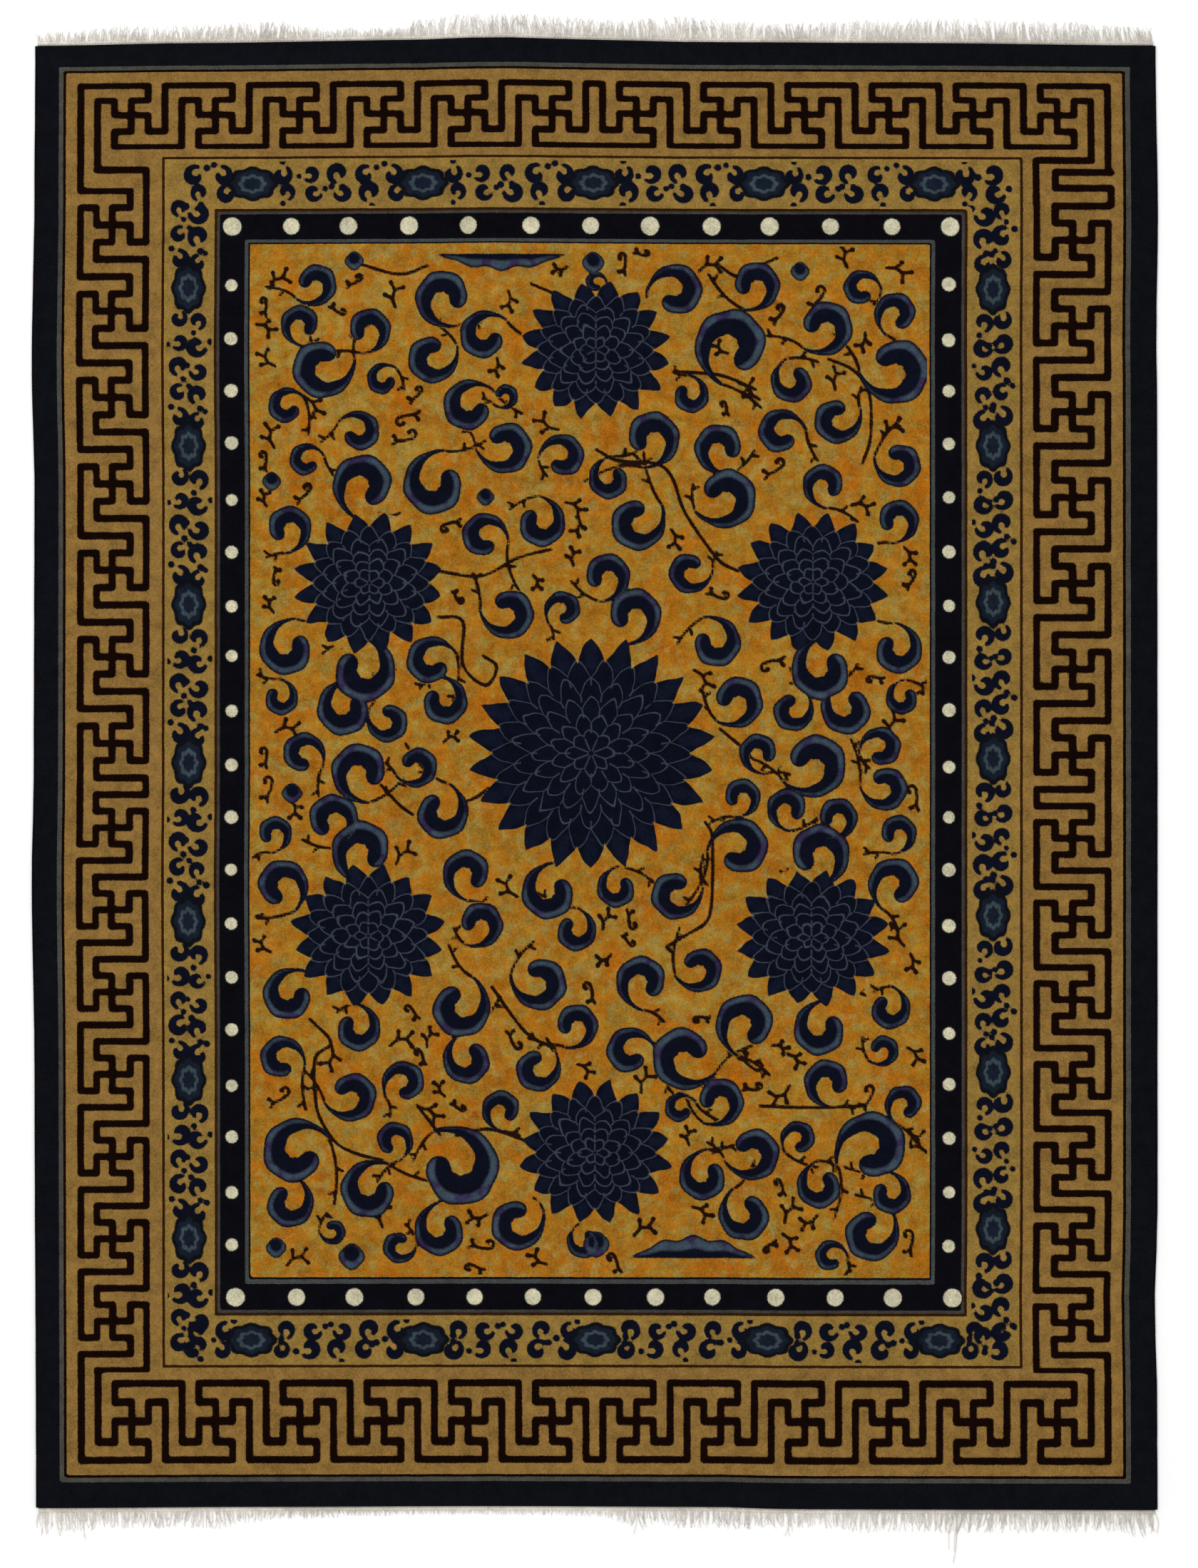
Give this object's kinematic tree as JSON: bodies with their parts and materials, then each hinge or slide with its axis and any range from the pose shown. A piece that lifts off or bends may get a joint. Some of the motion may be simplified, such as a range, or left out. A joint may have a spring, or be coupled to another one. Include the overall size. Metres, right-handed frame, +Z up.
{
  "type": "chinese carpet",
  "caption": "Room-size knotted wool carpet with a gold field of flower medallions, a key-fret border and a short cotton fringe at each end.",
  "frame": {"origin": "on the floor, under the middle of the whole carpet with its fringes", "axes": "+X towards the right-hand side of the design, +Y along the carpet towards its upper end, +Z up out of the pile"},
  "size_m": [2.7684, 3.8152, 0.011],
  "materials": {
    "wool_pile": "clipped wool pile, matt with a faint sheen",
    "edge_wool": "overcast wool yarn, matt",
    "cotton_fringe": "plied cotton warp, matt"
  },
  "bodies": {
    "root": {"carpet": "wool_pile", "side_cord_left": "edge_wool", "side_cord_right": "edge_wool", "fringe_upper": "cotton_fringe", "fringe_lower": "cotton_fringe"}
  },
  "joints": []
}
